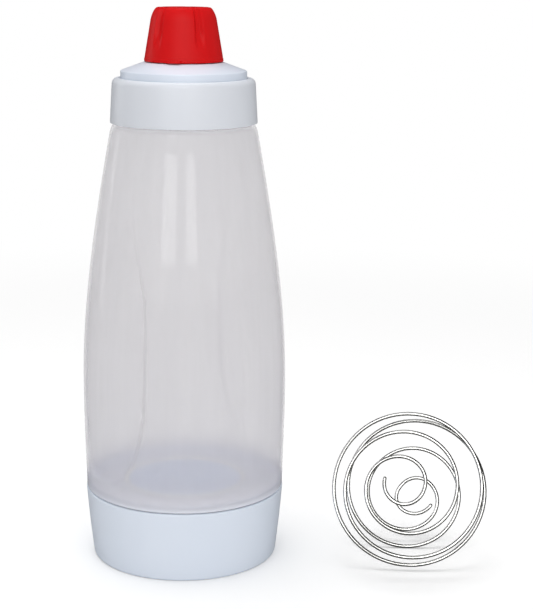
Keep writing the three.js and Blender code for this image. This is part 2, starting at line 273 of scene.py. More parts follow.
@dataclass(frozen=True)
class MilkyPolypropylene:
    """Blow-moulded natural polypropylene: a thin cloudy wall that glows and half hides what stands behind it.

    Part of the light goes straight through each skin of the wall, and the rest is scattered forwards and back. The
    blown wall keeps faint upright streaks from the stretched melt and a slow ripple that bends the highlights. The
    bottom plate and the foot of the wall are thicker, so they look whiter, and their tints are drawn lighter still as
    painted light, for the light that reaches the bottom through the wall. The plate's ring bead is painted white as a
    painted highlight and its middle is bluish, and the upright edges of the pressed grips carry a painted highlight, a
    line of extra haze.
    """

    name: str = "blown milky polypropylene"
    colour: str = "#F4F2F4"
    cloud: str = "#ECEAED"
    # foot and plate: whiter tints of the thick bottom, drawn lighter still as painted light on the bottom of the
    # bottle
    foot: str = "#F4F6FF"
    plate: str = "#E4E9F9"
    # painted highlight: the floor's ring bead is painted white
    bead: str = "#FFFFFF"
    middle: str = "#D0E0FF"
    haze: float = 0.35
    haze_drift: float = 0.015
    # extra haze on the grip edges, which draws a painted highlight line there
    edge_highlight_haze: float = 0.24
    bottom_haze: float = 0.92
    passed_on: float = 0.55
    bottom_passed_on: float = 0.08
    plate_over: float = 41.0
    plate_radius: float = 49.0
    bead_radius: float = 31.4
    middle_radius: float = 28.8
    border: float = 0.5
    # heights over which the foot's whiter tint and haze fade out: partly the thicker plastic, partly painted light on
    # the lower wall
    foot_from: float = 37.6
    foot_to: float = 54.0
    foot_fade: float = 2.6
    gloss: float = 0.9
    roughness: float = 0.016
    roughness_drift: float = 0.01
    streak_width: float = 7.0
    streak_stretch: float = 0.06
    ripple_size: float = 16.0
    ripple_depth: float = 0.03
    ripple_strength: float = 0.4

    @cache
    def material(self) -> bpy.types.Material:
        """Makes the node material, once.

        Returns:
            The material.
        """
        material, tree, output = new_material(self.name)
        place = add(tree, "ShaderNodeTexCoord").outputs["Object"]
        drawn = add(tree, "ShaderNodeMapping", {"Scale": (1, 1, self.streak_stretch)}, {"Vector": place}).outputs[0]
        marks = {"Scale": per_metre(self.streak_width), "Detail": 4.0}
        streak = add(tree, "ShaderNodeTexNoise", marks, {"Vector": drawn}).outputs["Fac"]
        shades = {6: linear(self.colour), 7: linear(self.cloud)}
        tint = add(tree, "ShaderNodeMix", shades, {0: streak}, data_type="RGBA").outputs[2]
        zones = self.zones(tree, place)
        # the foot and plate get whiter tints, partly painted light, the ring bead is painted white as a painted
        # highlight, and the middle is bluish
        for inner, outside in zip((self.foot, self.plate, self.bead, self.middle), zones):
            tint = add(tree, "ShaderNodeMix", {6: linear(inner)}, {0: outside, 7: tint}, data_type="RGBA").outputs[2]
        wall = zones[0]
        drift = self.roughness_drift
        spread = {**NOISE_RANGE, "To Min": self.roughness - drift, "To Max": self.roughness + drift}
        rough = add(tree, "ShaderNodeMapRange", spread, {"Value": streak}).outputs[0]
        marks = {"Scale": per_metre(self.ripple_size), "Detail": 1.0}
        ripple = add(tree, "ShaderNodeTexNoise", marks, {"Vector": place}).outputs["Fac"]
        height = {"Strength": self.ripple_strength, "Distance": self.ripple_depth * MM}
        bump = add(tree, "ShaderNodeBump", height, {"Height": ripple}).outputs[0]
        skin = add(
            tree,
            "ShaderNodeBsdfPrincipled",
            {"IOR": POLYPROPYLENE_IOR, "Specular IOR Level": self.gloss},
            {"Base Color": tint, "Roughness": rough, "Normal": bump},
        ).outputs[0]
        glow = add(tree, "ShaderNodeBsdfTranslucent", links={"Color": tint}).outputs[0]
        ahead = add(tree, "ShaderNodeMix", {2: self.bottom_passed_on, 3: self.passed_on}, {0: wall}).outputs[0]
        scattered = add(tree, "ShaderNodeMixShader", links={0: ahead, 1: skin, 2: glow}).outputs[0]
        spread = {**NOISE_RANGE, "To Min": self.haze - self.haze_drift, "To Max": self.haze + self.haze_drift}
        cloudy = add(tree, "ShaderNodeMapRange", spread, {"Value": streak}).outputs[0]
        # painted highlight on the grip edges: extra haze there, so the wall scatters more light
        edge = add(tree, "ShaderNodeAttribute", attribute_name=GRIP_EDGE_HIGHLIGHT).outputs["Fac"]
        sources = {0: edge, 2: cloudy}
        highlighted = add(tree, "ShaderNodeMath", {1: self.edge_highlight_haze}, sources, operation="MULTIPLY_ADD").outputs[0]
        share = add(tree, "ShaderNodeMix", {2: self.bottom_haze}, {0: wall, 3: highlighted}).outputs[0]
        clear = add(tree, "ShaderNodeBsdfTransparent").outputs[0]
        surface = add(tree, "ShaderNodeMixShader", links={0: share, 1: clear, 2: scattered}).outputs[0]
        tree.links.new(surface, output.inputs["Surface"])
        return material

    def zones(self, tree: bpy.types.NodeTree, place: bpy.types.NodeSocket) -> list[bpy.types.NodeSocket]:
        """Tells the thin wall from the thick bottom plate, and the parts of the plate from each other.

        Args:
            tree: node tree to add to.
            place: socket with the place on the bottle.

        Returns:
            Sockets with 1 on the thin wall, 1 off the plate, 1 outside its ring bead, and 1 outside its middle.
        """
        height = add(tree, "ShaderNodeSeparateXYZ", links={0: place}).outputs["Z"]
        level = add(tree, "ShaderNodeVectorMath", {1: (1, 1, 0)}, {0: place}, operation="MULTIPLY").outputs[0]
        radius = add(tree, "ShaderNodeVectorMath", links={0: level}, operation="LENGTH").outputs["Value"]
        borders = [
            (height, self.plate_over, self.plate_over + self.border),
            (height, self.foot_from, self.foot_to),
            *((radius, r, r + self.border) for r in (self.plate_radius, self.bead_radius, self.middle_radius)),
        ]
        over, thin, beyond, *inner = (
            add(tree, "ShaderNodeMapRange", {1: begin * MM, 2: end * MM}, {0: value}).outputs[0]
            for value, begin, end in borders
        )
        beside = add(tree, "ShaderNodeMath", links={0: over, 1: beyond}, operation="MAXIMUM").outputs[0]
        thick = add(tree, "ShaderNodeMath", {0: 1.0}, {1: thin}, operation="SUBTRACT").outputs[0]
        foot = add(tree, "ShaderNodeMath", {1: self.foot_fade}, {0: thick}, operation="POWER").outputs[0]
        solid = add(tree, "ShaderNodeMath", links={0: beside, 1: foot}, operation="MULTIPLY").outputs[0]
        wall = add(tree, "ShaderNodeMath", links={0: beside, 1: solid}, operation="SUBTRACT").outputs[0]
        return [wall, beside, *inner]


Finish = Opaque | MilkyPolypropylene

WHITE = MouldedPlastic("moulded white polypropylene", "#E6E9EF", "#DDE1E9", 0.31, 0.41)
COOL_WHITE = MouldedPlastic("moulded cool white polypropylene", "#E8EFFA", "#DFE8F5", 0.31, 0.41)
RED = MouldedPlastic("moulded red polypropylene", "#DC1417", "#D21114", 0.37, 0.47, gloss=0.12)
MILKY = MilkyPolypropylene()
SILICONE = SiliconeRubber()
STEEL = DrawnStainless()


def smoothstep(value: np.ndarray, low: float, high: float) -> np.ndarray:
    """Rises smoothly from 0 at low to 1 at high."""
    share = np.clip((value - low) / (high - low), 0, 1)
    return share * share * (3 - 2 * share)


def bezier(*controls: Point, steps: int) -> Profile:
    """Points of a Bezier curve.

    Args:
        controls: its control points.
        steps: number of stretches.

    Returns:
        The points, both ends included.
    """
    t = np.linspace(0, 1, steps + 1)[:, None]
    last = len(controls) - 1
    terms = [math.comb(last, i) * t**i * (1 - t) ** (last - i) * np.array(c, float) for i, c in enumerate(controls)]
    return [(float(r), float(z)) for r, z in sum(terms)]


def filleted(*corners: Corner, steps: int = 5) -> Profile:
    """Outline with rounded corners.

    Args:
        corners: radius, height and, where the corner is round, its radius.
        steps: stretches in each rounded corner.

    Returns:
        The points of the outline.
    """
    points: Profile = []
    for i, corner in enumerate(corners):
        here = np.array(corner[:2], float)
        if len(corner) < 3:
            points.append((float(here[0]), float(here[1])))
            continue
        before = np.array(corners[i - 1][:2], float) - here
        after = np.array(corners[i + 1][:2], float) - here
        before, after = before / np.linalg.norm(before), after / np.linalg.norm(after)
        reach = corner[2] / math.tan(math.acos(float(np.clip(before @ after, -1, 1))) / 2)
        points += bezier(tuple(here + before * reach), tuple(here), tuple(here + after * reach), steps=steps)
    return points


def straight(start: Point, end: Point, spacing: float = THREAD_SPACING) -> Profile:
    """Even points from start to end, both included, about spacing apart."""
    count = max(1, round(math.dist(start, end) / spacing))
    return bezier(start, end, steps=count)


@dataclass(frozen=True)
class Thread:
    """Helical ridge of a moulded screw thread, right-handed.

    A male and a female thread of the same lead sit half a pitch apart, so their ridges pass each other.
    The crest and the foot are shares of the width.
    """

    lead: float
    starts: int
    low: float
    high: float
    height: float
    width: float = 1.9
    crest: float = 0.2
    foot: float = 0.5
    run_out: float = 1.5
    offset: float = 0.0

    def relief(self, azimuth: np.ndarray, height: np.ndarray) -> np.ndarray:
        """How far the ridge stands out.

        Args:
            azimuth: degrees round the axis.
            height: millimetres above the ground.

        Returns:
            Millimetres away from the axis, negative for a ridge that points inwards.
        """
        pitch = self.lead / self.starts
        along = height / pitch - azimuth / 360 * self.starts - self.offset
        away = np.abs((along + 0.5) % 1 - 0.5) * pitch
        ridge = 1 - smoothstep(away, self.crest * self.width, self.foot * self.width)
        ends = smoothstep(height, self.low, self.low + self.run_out)
        ends = ends * (1 - smoothstep(height, self.high - self.run_out, self.high))
        return self.height * ridge * ends


@dataclass
class Strip:
    """Stretch of an outline and the relief that its surface carries."""

    profile: Profile
    relief: Relief | None = None


def mesh_object(name: str, points: np.ndarray, faces: list[Sequence[int]]) -> bpy.types.Object:
    """Makes a smooth-shaded object with sharp creases.

    Args:
        name: name of the piece.
        points: places in millimetres, one row each.
        faces: point numbers of each face.

    Returns:
        The object, linked to the scene.
    """
    mesh = bpy.data.meshes.new(name)
    mesh.from_pydata((points * MM).tolist(), [], faces)
    mesh.polygons.foreach_set("use_smooth", [True] * len(mesh.polygons))
    mesh.set_sharp_from_angle(angle=CREASE)
    mesh.update()
    piece = bpy.data.objects.new(name, mesh)
    bpy.context.scene.collection.objects.link(piece)
    return piece


def turned(name: str, *strips: Strip, steps: int = STEPS) -> bpy.types.Object:
    """Makes a piece that is turned about the bottle's axis.

    Args:
        name: name of the piece.
        strips: outline that runs up the outside and down the inside. It starts and ends on the axis, or else closes
            on itself as a ring.
        steps: points round the axis.

    Returns:
        The piece.
    """
    azimuth = np.arange(steps) * 360 / steps
    across, forward = np.sin(np.radians(azimuth)), -np.cos(np.radians(azimuth))
    points: list[np.ndarray] = []
    rows: list[list[int]] = []
    count = 0
    for strip in strips:
        for radius, height in strip.profile:
            if radius < ON_AXIS:
                points.append(np.array([[0, 0, height]]))
                rows.append([count] * steps)
                count += 1
                continue
            level = np.full(steps, float(height))
            reach = np.full(steps, float(radius))
            if strip.relief:
                reach = reach + strip.relief(azimuth, level)
            points.append(np.stack([reach * across, reach * forward, level], 1))
            rows.append(list(range(count, count + steps)))
            count += steps
    ring = rows[0][0] != rows[0][1]
    pairs = zip(rows, rows[1:] + rows[:1]) if ring else zip(rows, rows[1:])
    faces = []
    for low, high in pairs:
        for j in range(steps):
            k = (j + 1) % steps
            corners = [low[j], low[k], high[k], high[j]]
            faces.append(list(dict.fromkeys(corners)))
    return mesh_object(name, np.concatenate(points), faces)


def fit(piece: bpy.types.Object, node: str, body: Body, finish: Finish) -> None:
    """Dresses a piece and sets it on its body in place of a CAD node.

    Args:
        piece: the finished mesh.
        node: CAD node that it stands for.
        body: body that it moves with.
        finish: what it is made of.
    """
    piece.data.materials.append(finish.material())
    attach(piece, body.value)
    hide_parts(node)
    LOG.info("%s: %d faces on body %s", piece.name, len(piece.data.polygons), body.value)


@dataclass(frozen=True)
class Ring:
    """Flat ring with four rounded edges."""

    name: str
    inner: float
    outer: float
    low: float
    high: float
    edge: float = 0.4
    edge_steps: int = 4

    def build(self) -> bpy.types.Object:
        """Builds the ring.

        Returns:
            The ring.
        """
        seam = ((self.inner + self.outer) / 2, self.low)
        corners = [(self.outer, self.low), (self.outer, self.high), (self.inner, self.high), (self.inner, self.low)]
        outline = filleted(seam, *((*corner, self.edge) for corner in corners), seam, steps=self.edge_steps)
        return turned(self.name, Strip(outline[:-1]))


@dataclass
class BaseAssembly:
    """White cup that screws under the bottle, with its ring seal."""

    height: float = 36.4
    foot_radius: float = 47.6
    foot_round: float = 1.8
    rim_radius: float = 51.0
    rim_round: float = 1.0
    bulge: float = 0.4
    floor: float = 2.2
    wall: float = 2.1
    thread_radius: float = 46.5
    thread_from: float = 22.6
    shelf: float = 34.4
    lip: float = 1.5
    side_steps: int = 18
    thread: Thread = Thread(lead=8, starts=2, low=23.1, high=34.2, height=-0.75, offset=0.5)
    gasket: Ring = Ring("base_ring_seal", 45.5, 48.95, 34.7, 36.5)

    def cup(self) -> bpy.types.Object:
        """Builds the cup.

        Returns:
            The cup.
        """
        foot = filleted((0, 0), (self.foot_radius, 0, self.foot_round), (self.foot_radius, self.height))[:-1]
        middle = (self.foot_radius + self.rim_radius) / 2 + self.bulge
        side = bezier(foot[-1], (middle, self.height / 2), (self.rim_radius, self.height), steps=self.side_steps)
        inner = self.rim_radius - self.lip
        rim = filleted(
            side[-2],
            (self.rim_radius, self.height, self.rim_round),
            (inner, self.height, self.rim_round / 2),
            (inner, self.shelf),
            (self.thread_radius, self.shelf),
        )
        bore = straight((self.thread_radius, self.shelf), (self.thread_radius, self.thread_from))
        inside = filleted(bore[-1], (self.foot_radius - self.wall, self.floor, self.wall), (0, self.floor))
        return turned(
            "base_cup_shell",
            Strip(foot + side[1:-1] + rim[1:-1]),
            Strip(bore, self.thread.relief),
            Strip(inside[1:]),
        )

    def build(self) -> None:
        """Builds and dresses both pieces."""
        fit(self.cup(), "base_cup", Body.BASE, COOL_WHITE)
        fit(self.gasket.build(), "base_gasket", Body.BASE_SEAL, SILICONE)


@dataclass(frozen=True)
class FingerGrip:
    """Shallow recess pressed into the bottle: round at its lower end and fading out towards the shoulder.

    Its widths are degrees round the bottle, and its edge is a share of its corner.
    """

    middles: tuple[float, float] = (-51.8, 128.2)
    half_width: float = 32.2
    narrowing: float = 13.0
    narrow_from: float = 132.0
    narrow_to: float = 192.0
    low: float = 47.7
    corner_width: float = 24.0
    corner_height: float = 50.0
    edge: float = 0.1
    depth: float = 1.6
    fade_from: float = 132.0
    fade_to: float = 207.0
    # heights over which the painted edge highlight fades out
    highlight_from: float = 112.0
    highlight_to: float = 167.0

    def reach(self, azimuth: np.ndarray, height: np.ndarray) -> tuple[np.ndarray, np.ndarray]:
        """Place between a recess's middle and its outline.

        Args:
            azimuth: degrees round the axis.
            height: millimetres above the ground.

        Returns:
            Shares sideways and downwards, which together make 1 on the outline.
        """
        apart = np.min([np.abs((azimuth - m + 180) % 360 - 180) for m in self.middles], axis=0)
        half = self.half_width - self.narrowing * smoothstep(height, self.narrow_from, self.narrow_to)
        sideways = np.maximum(apart - half + self.corner_width, 0) / self.corner_width
        below = np.maximum(self.low + self.corner_height - height, 0) / self.corner_height
        return sideways, below

    def relief(self, azimuth: np.ndarray, height: np.ndarray) -> np.ndarray:
        """How far the wall is moved out: negative in the recesses.

        Args:
            azimuth: degrees round the axis.
            height: millimetres above the ground.

        Returns:
            Millimetres away from the axis.
        """
        pressed = 1 - smoothstep(np.hypot(*self.reach(azimuth, height)), 1 - self.edge / 2, 1 + self.edge / 2)
        return -self.depth * pressed * (1 - smoothstep(height, self.fade_from, self.fade_to))

    def painted_highlight_share(self, azimuth: np.ndarray, height: np.ndarray) -> np.ndarray:
        """How strongly the edges of the recesses get a painted highlight, a line of extra haze: most on the upright
        edges.

        Args:
            azimuth: degrees round the axis.
            height: millimetres above the ground.

        Returns:
            Shares from 0 to 1.
        """
        sideways, below = self.reach(azimuth, height)
        line = np.exp(-(((np.hypot(sideways, below) - 1) / (self.edge / 2)) ** 2))
        least = 0.01  # keeps the share finite in the middle of a recess
        upright = sideways**2 / np.maximum(sideways**2 + below**2, least)
        return line * upright * (1 - smoothstep(height, self.highlight_from, self.highlight_to))


@dataclass
class Bottle:
    """Blown bottle shell with a threaded neck, a raised floor and a threaded skirt."""

    wall: float = 1.5
    blown_wall: float = 1.0
    bottom: float = 36.8
    bottom_radius: float = 50.7
    bottom_round: float = 1.6
    bottom_flare: float = 0.5
    belly_radius: float = 51.8
    belly_height: float = 90.0
    shoulder_radius: float = 37.1
    shoulder_height: float = 217.6
    shoulder_slope: float = 0.18
    shoulder_top: float = 223.2
    shoulder_bend: float = 4.0
    shoulder_draw: float = 0.7
    neck_bend: float = 2.5
    neck_radius: float = 33.3
    lip_height: float = 238.8
    lip_round: float = 0.5
    floor: float = 1.2
    floor_round: float = 4.0
    push_up: float = 0.3
    push_up_radius: float = 31.2
    push_up_round: float = 0.1
    bead: float = 1.1
    bead_slope: float = 0.5
    bead_round: float = 0.3
    bead_crest: float = 0.4
    skirt_radius: float = 45.2
    skirt_wall: float = 1.8
    skirt_end: float = 24.6
    skirt_root: float = 0.6
    skirt_round: float = 0.4
    shoulder_steps: int = 10
    inner_shoulder_steps: int = 8
    steps_round: int = 320
    grip: FingerGrip = FingerGrip()
    neck_thread: Thread = Thread(lead=10, starts=2, low=225.2, high=237.4, height=0.8)
    skirt_thread: Thread = Thread(lead=8, starts=2, low=25.2, high=34.0, height=0.75)

    def side(self, inset: float, lower_steps: int, upper_steps: int) -> Profile:
        """Wall from the bottom edge up to the shoulder.

        Args:
            inset: how far the wall is drawn in, for the inside.
            lower_steps: stretches below the widest place.
            upper_steps: stretches above it.

        Returns:
            The points, from the bottom up.
        """
        start = self.bottom + self.bottom_round
        lower = (self.belly_height - start) / 3
        upper = (self.shoulder_height - self.belly_height) / 3
        below = bezier(
            (self.bottom_radius - inset, start),
            (self.bottom_radius + self.bottom_flare - inset, start + lower),
            (self.belly_radius - inset, self.belly_height - lower),
            (self.belly_radius - inset, self.belly_height),
            steps=lower_steps,
        )
        above = bezier(
            (self.belly_radius - inset, self.belly_height),
            (self.belly_radius - inset, self.belly_height + upper),
            (self.shoulder_radius + self.shoulder_slope * upper - inset, self.shoulder_height - upper),
            (self.shoulder_radius - inset, self.shoulder_height),
            steps=upper_steps,
        )
        return below + above[1:]

    def shell(self) -> bpy.types.Object:
        """Builds the shell.

        Returns:
            The shell, with the share of the painted edge highlight on its points.
        """
        ledge = self.push_up_radius - self.floor
        mouth = self.neck_radius - self.wall
        skirt_bore = self.skirt_radius - self.skirt_wall
        under = filleted(
            (0, self.bottom + self.push_up),
            (ledge, self.bottom + self.push_up, self.push_up_round),
            (ledge + self.push_up, self.bottom, self.push_up_round),
            (skirt_bore, self.bottom, self.skirt_root),
            (skirt_bore, self.skirt_end, self.skirt_round),
            (self.skirt_radius, self.skirt_end, self.skirt_round),
            (self.skirt_radius, self.bottom),
        )
        skirt = straight(under[-2], (self.skirt_radius, self.bottom))
        edge = filleted(
            skirt[-1],
            (self.bottom_radius, self.bottom, self.bottom_round / 2),
            (self.bottom_radius, self.bottom + self.bottom_round),
        )
        shoulder = bezier(
            (self.shoulder_radius, self.shoulder_height),
            (self.shoulder_radius - self.shoulder_draw, self.shoulder_height + self.shoulder_bend),
            (self.neck_radius + self.neck_bend, self.shoulder_top),
            (self.neck_radius, self.shoulder_top),
            steps=self.shoulder_steps,
        )
        lip = filleted(
            (self.neck_radius, self.shoulder_top),
            (self.neck_radius, self.lip_height, self.lip_round),
            (mouth, self.lip_height, self.lip_round),
            (mouth, self.shoulder_top),
        )
        neck = straight((self.neck_radius, self.shoulder_top), lip[1])
        inner_shoulder = bezier(
            (mouth, self.shoulder_top),
            (mouth + self.neck_bend, self.shoulder_top - self.wall),
            (self.shoulder_radius - self.blown_wall, self.shoulder_height),
            steps=self.inner_shoulder_steps,
        )
        floor_top = self.bottom + self.floor
        inner = self.side(self.blown_wall, lower_steps=20, upper_steps=50)
        inner = [p for p in reversed(inner) if p[1] > floor_top + self.floor_round]
        disc_top = floor_top + self.push_up
        inner_floor = filleted(
            inner[-1],
            (self.bottom_radius - self.blown_wall, floor_top, self.floor_round),
            (self.push_up_radius + self.bead_slope, floor_top, self.bead_round),
            (self.push_up_radius, disc_top + self.bead, self.bead_crest),
            (self.push_up_radius - self.bead, disc_top + self.bead, self.bead_round),
            (self.push_up_radius - 2 * self.bead, disc_top, self.bead_round),
            (0, disc_top),
        )
        piece = turned(
            "bottle_shell",
            Strip(under[:-2]),
            Strip(skirt, self.skirt_thread.relief),
            Strip(edge[1:-1]),
            Strip(self.side(0, lower_steps=30, upper_steps=70), self.grip.relief),
            Strip(shoulder[1:-1]),
            Strip(neck, self.neck_thread.relief),
            Strip(lip[2:-1]),
            Strip(inner_shoulder[:-1]),
            Strip(inner, self.grip.relief),
            Strip(inner_floor[1:]),
            steps=self.steps_round,
        )
        places = np.array([v.co for v in piece.data.vertices]) / MM
        azimuth = np.degrees(np.arctan2(places[:, 0], -places[:, 1]))
        highlighted = piece.data.attributes.new(GRIP_EDGE_HIGHLIGHT, "FLOAT", "POINT")
        highlighted.data.foreach_set("value", self.grip.painted_highlight_share(azimuth, places[:, 2]))
        return piece

    def build(self) -> None:
        """Builds and dresses the shell."""
        fit(self.shell(), "bottle_body", Body.BOTTLE, MILKY)


@dataclass
class Lid:
    """Collar nut, lid disc with its spout, ring seal, slit valve and valve ring."""

    collar_bottom: float = 223.8
    collar_bottom_radius: float = 36.65
    collar_top: float = 245.8
    collar_top_radius: float = 35.4
    collar_round: float = 3.2
    collar_edge: float = 0.5
    collar_bore: float = 34.6
    collar_mouth: float = 31.6
    collar_lip: float = 242.9
    collar_steps: int = 7
    bore_spacing: float = 0.4
    collar_thread: Thread = Thread(lead=10, starts=2, low=224.6, high=242.2, height=-0.8, offset=0.5)
    flange_radius: float = 34.0
    flange_bottom: float = 241.0
    flange_top: float = 242.6
    disc_radius: float = 31.25
    disc_edge: float = 249.3
    disc_round: float = 0.7
    disc_wall: float = 2.0
    edge: float = 0.3
    barrel_wall: float = 2.05
    vault_round: float = 0.8
    landing: float = 253.5
    landing_radius: float = 19.8
    spout_radius: float = 13.0
    spout_bore: float = 10.7
    spout_top: float = 274.0
    spout_round: float = 0.6
    spout_foot: float = 0.6
    throat_round: float = 0.5
    mouth_radius: float = 7.5
    mouth_ledge: float = 271.5
    spout_thread: Thread = Thread(lead=8, starts=2, low=255.1, high=271.5, height=0.75)
    seal: Ring = Ring("neck_ring_seal", 31.8, 33.9, 239.1, 240.7)
    holder: Ring = Ring("valve_holder_ring", 7.6, 10.4, 265.5, 269.3, edge=0.5)

    def collar(self) -> bpy.types.Object:
        """Builds the collar nut.

        Returns:
            The nut.
        """
        outline = filleted(
            (self.collar_bore, self.collar_bottom),
            (self.collar_bottom_radius, self.collar_bottom, self.collar_edge),
            (self.collar_top_radius, self.collar_top, self.collar_round),
            (self.collar_mouth, self.collar_top, self.edge),
            (self.collar_mouth, self.collar_lip),
            (self.collar_bore, self.collar_lip),
            steps=self.collar_steps,
        )
        ends = (self.collar_bore, self.collar_lip), (self.collar_bore, self.collar_bottom)
        bore = straight(*ends, self.bore_spacing)
        return turned("collar_nut", Strip(outline[1:-1]), Strip(bore, self.collar_thread.relief))

    def disc(self) -> bpy.types.Object:
        """Builds the lid disc with its spout.

        Returns:
            The disc.
        """
        slope = (self.landing - self.disc_edge) / (self.disc_radius - self.landing_radius)
        barrel = self.disc_radius - self.barrel_wall
        vault = self.landing - self.disc_wall
        outside = filleted(
            (barrel, self.flange_bottom),
            (self.flange_radius, self.flange_bottom, self.edge),
            (self.flange_radius, self.flange_top, self.edge),
            (self.disc_radius, self.flange_top, self.edge),
            (self.disc_radius, self.disc_edge, self.disc_round),
            (self.landing_radius, self.landing, self.disc_round),
            (self.spout_radius, self.landing, self.spout_foot),
            (self.spout_radius, self.spout_top),
        )
        mouth = filleted(
            (self.spout_radius, self.landing),
            (self.spout_radius, self.spout_top, self.spout_round),
            (self.mouth_radius, self.spout_top, self.spout_round),
            (self.mouth_radius, self.mouth_ledge),
            (self.spout_bore, self.mouth_ledge),
            (self.spout_bore, vault, self.throat_round),
            (self.landing_radius - slope * self.disc_wall, vault, self.vault_round),
            (barrel, self.disc_edge + slope * self.barrel_wall - self.disc_wall, self.vault_round),
            (barrel, self.flange_bottom),
        )
        spout = straight(outside[-2], mouth[1])
        return turned(
            "lid_disc_with_spout",
            Strip(outside[:-2]),
            Strip(spout, self.spout_thread.relief),
            Strip(mouth[2:-1]),
        )

    def build(self) -> None:
        """Builds and dresses the pieces of the lid, and dresses the slit valve that comes from the CAD model."""
        fit(self.collar(), "collar_ring", Body.COLLAR, WHITE)
        fit(self.disc(), "spout_dome", Body.LID, COOL_WHITE)
        fit(self.seal.build(), "neck_gasket", Body.LID, SILICONE)
        fit(self.holder.build(), "valve_retainer", Body.LID, WHITE)
        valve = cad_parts["spout_valve"]
        valve.data.materials.clear()
        valve.data.materials.append(SILICONE.material())
        LOG.info("spout_valve: slit valve dressed as it comes")


@dataclass
class TwistCap:
    """Red fluted cap with a threaded sleeve inside, a band and a lug at its lower edge, and its soft liner."""

    bottom: float = 253.9
    bottom_radius: float = 19.4
    belt: float = 256.6
    belt_radius: float = 19.2
    shoulder: float = 274.0
    shoulder_radius: float = 16.25
    top: float = 280.0
    top_radius: float = 12.9
    crown_draw: float = 0.5
    crown_drop: float = 3.3
    crown_flat: float = 1.2
    crown_edge: float = 0.1
    crown_steps: int = 12
    top_flat: float = 1.5
    edge_points: tuple[Point, ...] = ((-0.15, 0.0), (0.05, 0.1), (0.2, 0.35))  # from the lower outer corner
    band_height: float = 1.7
    band_proud: float = 0.2
    band_round: float = 0.2
    band_share: float = 0.4
    band_foot: float = 0.25
    side_from: float = 0.5
    side_rows: int = 28
    steps_round: int = 240
    shell_wall: float = 1.7
    pocket_top: float = 265.0
    pocket_round: float = 0.3
    sleeve_radius: float = 15.9
    sleeve_end: float = 255.2
    bore: float = 14.3
    bore_top: float = 273.0
    seat_radius: float = 13.3
    seat_low: float = 274.3
    ceiling: float = 276.3
    flutes: int = 5
    flute_middle: float = -42.5
    flute_half_width: float = 9.0
    flute_flat: float = 3.2
    flute_depth: float = 1.8
    flute_from: float = 259.0
    flute_full: float = 270.0
    lug_middle: float = -11.0
    lug_half_angle: float = 10.4
    lug_side: float = 2.0
    lug_reach: float = 1.4
    lug_height: float = 1.3
    lug_rows: tuple[float, float] = (-0.3, -0.01)  # from its upper face
    lug_step: float = 0.02
    thread: Thread = Thread(lead=8, starts=2, low=255.4, high=272.6, height=-0.75, offset=0.5)
    liner_low: float = 274.3
    liner_high: float = 276.0
    liner_radius: float = 12.7
    plug_low: float = 273.9
    plug_radius: float = 7.15
    plug_round: float = 0.15
    plug_root: float = 0.1
    liner_round: float = 0.3
    liner_steps: int = 4
    liner_steps_round: int = 96

    def flute_relief(self, azimuth: np.ndarray, height: np.ndarray) -> np.ndarray:
        """Grooves for the fingers, which run out above the band.

        Args:
            azimuth: degrees round the axis.
            height: millimetres above the ground.

        Returns:
            Millimetres away from the axis, negative in a groove.
        """
        pitch = 360 / self.flutes
        apart = np.abs((azimuth - self.flute_middle + pitch / 2) % pitch - pitch / 2)
        groove = 1 - smoothstep(apart, self.flute_flat, self.flute_half_width)
        return -self.flute_depth * groove * smoothstep(height, self.flute_from, self.flute_full)

    def lug_relief(self, azimuth: np.ndarray, height: np.ndarray) -> np.ndarray:
        """Small pointer lug on the lower edge.

        Args:
            azimuth: degrees round the axis.
            height: millimetres above the ground.

        Returns:
            Millimetres away from the axis.
        """
        apart = np.abs((azimuth - self.lug_middle + 180) % 360 - 180)
        along = 1 - smoothstep(apart, self.lug_half_angle - self.lug_side, self.lug_half_angle)
        return self.lug_reach * along * (height < self.bottom + self.lug_height)

    def shell(self) -> bpy.types.Object:
        """Builds the cap.

        Returns:
            The cap.
        """
        heights = (self.bottom, self.belt, self.shoulder)
        radii = (self.bottom_radius, self.belt_radius, self.shoulder_radius)

        def side_radius(height: float) -> float:
            """Radius of the plain tapered side."""
            return float(np.interp(height, heights, radii))

        band_top = self.bottom + self.band_height
        proud = self.band_proud
        inside = filleted(
            (0, self.ceiling),
            (self.seat_radius, self.ceiling),
            (self.seat_radius, self.seat_low),
            (self.bore, self.bore_top),
        )
        sleeve = straight((self.bore, self.bore_top), (self.bore, self.sleeve_end))
        pocket = filleted(
            (self.bore, self.sleeve_end),
            (self.sleeve_radius, self.sleeve_end, self.pocket_round),
            (self.sleeve_radius, self.pocket_top, self.pocket_round),
            (side_radius(self.pocket_top) - self.shell_wall, self.pocket_top, self.pocket_round),
            (self.bottom_radius - self.shell_wall, self.bottom),
        )
        lug_top = self.bottom + self.lug_height
        edge = [(self.bottom_radius + out, self.bottom + up) for out, up in self.edge_points]
        edge += [(side_radius(lug_top) + proud, lug_top + up) for up in self.lug_rows]
        band = [
            (side_radius(lug_top) + proud, lug_top + self.lug_step),
            (side_radius(band_top) + proud, band_top - self.band_round),
            (side_radius(band_top) + proud * self.band_share, band_top),
            (side_radius(band_top), band_top + self.band_foot),
        ]
        levels = np.linspace(band_top + self.side_from, self.shoulder, self.side_rows)
        side = [(side_radius(z), float(z)) for z in levels]
        crown = bezier(
            (self.shoulder_radius, self.shoulder),
            (self.shoulder_radius - self.crown_draw, self.top - self.crown_drop),
            (self.top_radius + self.crown_flat, self.top - self.crown_edge),
            (self.top_radius, self.top),
            steps=self.crown_steps,
        )
        return turned(
            "twist_cap_shell",
            Strip(inside[:-1]),
            Strip(sleeve, self.thread.relief),
            Strip(pocket[1:]),
            Strip(edge, self.lug_relief),
            Strip(band),
            Strip(side + crown[1:], self.flute_relief),
            Strip([(self.top_radius - self.top_flat, self.top), (0, self.top)]),
            steps=self.steps_round,
        )

